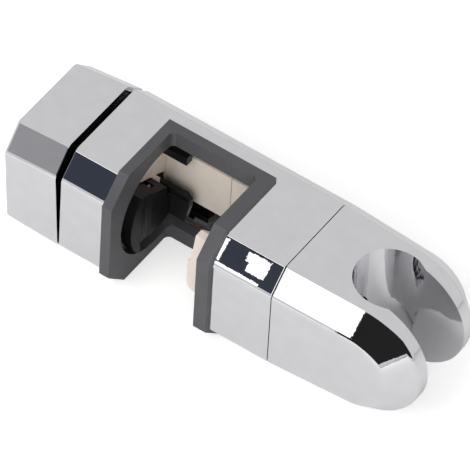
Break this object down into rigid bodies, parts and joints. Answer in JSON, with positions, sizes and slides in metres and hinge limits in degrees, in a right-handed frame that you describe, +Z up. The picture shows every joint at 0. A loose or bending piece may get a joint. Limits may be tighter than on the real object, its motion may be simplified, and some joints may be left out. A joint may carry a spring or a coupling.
{
  "type": "shower rail slider",
  "caption": "Slider that grips a round shower rail with a sprung brake jaw, lets go when its end cap is tilted in, and holds a hand shower in a swivelling slotted fork.",
  "frame": {"origin": "On the axis of the rail, at mid height of the body.", "axes": "+X runs along the body from the release cap to the handset fork, +Y from the open side of the rail notch to its closed side, +Z up along the rail."},
  "size_m": [0.1296, 0.0412, 0.0418],
  "materials": {
    "chrome_plate": "polished chrome plate",
    "grey_plastic": "satin dark grey moulding",
    "cream_plastic": "smooth cream moulding",
    "black_plastic": "satin black moulding",
    "plated_steel": "zinc plated steel",
    "nut_brass": "plain turned brass"
  },
  "bodies": {
    "body": {"body_shell": "chrome_plate", "end_plate": "black_plastic", "plate_screws": "plated_steel", "rail_frame": "grey_plastic", "jaw_guide": "cream_plastic", "back_pad": "cream_plastic", "back_pad_end": "cream_plastic", "fixed_jaw": "cream_plastic", "hinge_pin": "plated_steel", "yoke_pins": "plated_steel", "swivel_bush": "cream_plastic"},
    "cap": {"release_cap": "chrome_plate", "cap_lever": "black_plastic", "cap_screws": "plated_steel"},
    "yoke": {"release_yoke": "black_plastic"},
    "jaw": {"brake_jaw": "black_plastic", "return_spring": "plated_steel", "link_pins": "plated_steel"},
    "fork": {"handset_fork": "chrome_plate", "swivel_screw": "plated_steel", "swivel_washer": "plated_steel", "wave_washer": "plated_steel", "swivel_nut": "nut_brass"}
  },
  "joints": [
    {"name": "cap_press", "type": "hinge", "parent": "body", "child": "cap", "pos_m": [-0.0245, 0.0049, -0.0145], "axis": [0, 1, 0], "range_deg": [0, 3], "stiffness_Nm_per_rad": 4, "springref_deg": -2.86},
    {"name": "yoke_swing", "type": "hinge", "parent": "body", "child": "yoke", "pos_m": [-0.0222, 0.0049, 0.004], "axis": [0, 1, 0], "range_deg": [0, 8.8]},
    {"name": "jaw_slide", "type": "slide", "parent": "body", "child": "jaw", "axis": [1, 0, 0], "range_m": [-0.00155, 0]},
    {"name": "fork_swivel", "type": "hinge", "parent": "body", "child": "fork", "pos_m": [0.0391, 0.0049, 0], "axis": [1, 0, 0], "continuous": true}
  ],
  "couplings": [
    {"joint": "yoke_swing", "follows": "cap_press", "ratio": 2.9072},
    {"joint": "jaw_slide", "follows": "cap_press", "m_per_rad": -0.029072}
  ]
}
